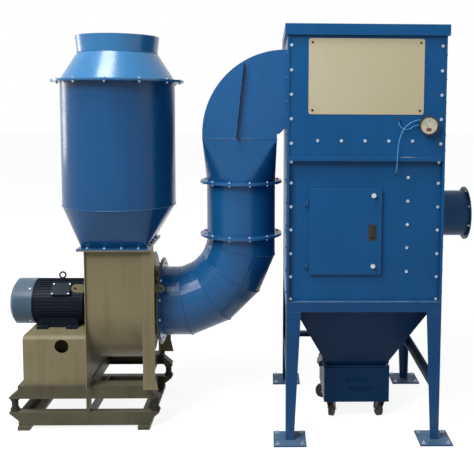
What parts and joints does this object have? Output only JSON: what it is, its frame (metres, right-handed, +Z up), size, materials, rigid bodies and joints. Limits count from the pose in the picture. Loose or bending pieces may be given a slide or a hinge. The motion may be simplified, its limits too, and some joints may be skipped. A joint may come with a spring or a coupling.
{
  "type": "dust collector",
  "caption": "Cartridge dust collector: filter housing on legs over a wheeled dust bin, bent duct to a base-mounted centrifugal fan with a round silencer",
  "frame": {"origin": "floor level, on the axis of the vertical round duct and in the middle plane of the housing, which is the middle of the part's box", "axes": "+X along the part from the fan to the filter housing, +Y from the access door side to the back, +Z up"},
  "size_m": [3.188, 1.256, 2.685],
  "materials": {
    "blue_paint": "semi-gloss paint",
    "filter_media": "pleated paper",
    "plate_face": "satin beige",
    "gauge_black": "satin black",
    "tube_plastic": "light blue tube",
    "handle_black": "moulded black",
    "bright_steel": "bright plated",
    "castor_steel": "black",
    "castor_rubber": "black rubber",
    "tan_paint": "semi-gloss olive tan",
    "motor_navy": "dark navy paint",
    "cowl_blue": "blue-grey paint",
    "isolator_rubber": "black rubber"
  },
  "bodies": {
    "frame_and_ducts": {"roof_cap": "blue_paint", "plenum_left_wall": "blue_paint", "plenum_right_wall": "blue_paint", "plenum_rear_wall": "blue_paint", "plenum_front_cover": "blue_paint", "tube_sheet": "blue_paint", "filter_cartridges": "filter_media", "chamber_left_wall": "blue_paint", "chamber_right_wall": "blue_paint", "chamber_rear_wall": "blue_paint", "chamber_front_panel": "blue_paint", "base_ring": "blue_paint", "hopper": "blue_paint", "hopper_outlet_flange": "blue_paint", "leg_front_left": "blue_paint", "leg_front_right": "blue_paint", "leg_rear_left": "blue_paint", "leg_rear_right": "blue_paint", "leg_ties": "blue_paint", "inlet_spigot": "blue_paint", "name_plate": "plate_face", "pressure_gauge": "gauge_black", "gauge_tube_high": "tube_plastic", "gauge_tube_low": "tube_plastic", "duct_square_elbow": "blue_paint", "duct_transition": "blue_paint", "duct_straight": "blue_paint", "duct_round_elbow": "blue_paint", "fan_scroll": "tan_paint", "fan_drive_plate": "tan_paint", "fan_inlet_plate": "tan_paint", "fan_inlet_collar": "tan_paint", "impeller_back_plate": "tan_paint", "impeller_blades": "tan_paint", "impeller_front_ring": "tan_paint", "motor_body": "motor_navy", "motor_cowl": "cowl_blue", "motor_pedestal": "tan_paint", "fan_upper_frame": "tan_paint", "fan_lower_frame": "tan_paint", "isolator_mounts": "isolator_rubber", "silencer_transition": "blue_paint", "silencer_body": "blue_paint", "silencer_top": "blue_paint"},
    "door": {"door": "blue_paint", "door_handle": "handle_black"},
    "latch_upper": {"latch_knob_upper": "bright_steel"},
    "latch_lower": {"latch_knob_lower": "bright_steel"},
    "bin": {"dust_bin": "blue_paint"},
    "clamp_left": {"bin_clamp_left": "bright_steel"},
    "clamp_right": {"bin_clamp_right": "bright_steel"},
    "castor_front_left": {"castor_fork_front_left": "castor_steel"},
    "wheel_front_left": {"castor_wheel_front_left": "castor_rubber"},
    "castor_front_right": {"castor_fork_front_right": "castor_steel"},
    "wheel_front_right": {"castor_wheel_front_right": "castor_rubber"},
    "castor_rear_left": {"castor_fork_rear_left": "castor_steel"},
    "wheel_rear_left": {"castor_wheel_rear_left": "castor_rubber"},
    "castor_rear_right": {"castor_fork_rear_right": "castor_steel"},
    "wheel_rear_right": {"castor_wheel_rear_right": "castor_rubber"}
  },
  "joints": [
    {"name": "door_hinge", "type": "hinge", "parent": "frame_and_ducts", "child": "door", "pos_m": [0.444, -0.5345, 1.378], "axis": [0, 0, -1], "range_deg": [0, 110]},
    {"name": "upper_latch_turn", "type": "hinge", "parent": "door", "child": "latch_upper", "pos_m": [0.863, -0.5345, 1.612], "axis": [0, 1, 0], "range_deg": [0, 90]},
    {"name": "lower_latch_turn", "type": "hinge", "parent": "door", "child": "latch_lower", "pos_m": [0.863, -0.5345, 1.158], "axis": [0, 1, 0], "range_deg": [0, 90]},
    {"name": "bin_slide", "type": "slide", "parent": "frame_and_ducts", "child": "bin", "axis": [0, -1, 0], "range_m": [0, 0.9]},
    {"name": "left_clamp_swing", "type": "hinge", "parent": "bin", "child": "clamp_left", "pos_m": [0.568, 0, 0.321], "axis": [0, -1, 0], "range_deg": [0, 75]},
    {"name": "right_clamp_swing", "type": "hinge", "parent": "bin", "child": "clamp_right", "pos_m": [1.052, 0, 0.321], "axis": [0, 1, 0], "range_deg": [0, 75]},
    {"name": "swivel_front_left", "type": "hinge", "parent": "bin", "child": "castor_front_left", "pos_m": [0.636, -0.178, 0.12], "axis": [0, 0, 1], "continuous": true},
    {"name": "roll_front_left", "type": "hinge", "parent": "castor_front_left", "child": "wheel_front_left", "pos_m": [0.64763, -0.14605, 0.05], "axis": [0.9397, -0.342, 0], "continuous": true},
    {"name": "swivel_front_right", "type": "hinge", "parent": "bin", "child": "castor_front_right", "pos_m": [0.984, -0.178, 0.12], "axis": [0, 0, 1], "continuous": true},
    {"name": "roll_front_right", "type": "hinge", "parent": "castor_front_right", "child": "wheel_front_right", "pos_m": [0.9752, -0.14516, 0.05], "axis": [0.9659, 0.2588, 0], "continuous": true},
    {"name": "swivel_rear_left", "type": "hinge", "parent": "bin", "child": "castor_rear_left", "pos_m": [0.636, 0.178, 0.12], "axis": [0, 0, 1], "continuous": true},
    {"name": "roll_rear_left", "type": "hinge", "parent": "castor_rear_left", "child": "wheel_rear_left", "pos_m": [0.602, 0.178, 0.05], "axis": [0, 1, 0], "continuous": true},
    {"name": "swivel_rear_right", "type": "hinge", "parent": "bin", "child": "castor_rear_right", "pos_m": [0.984, 0.178, 0.12], "axis": [0, 0, 1], "continuous": true},
    {"name": "roll_rear_right", "type": "hinge", "parent": "castor_rear_right", "child": "wheel_rear_right", "pos_m": [1.001, 0.20744, 0.05], "axis": [0.866, -0.5, 0], "continuous": true}
  ]
}
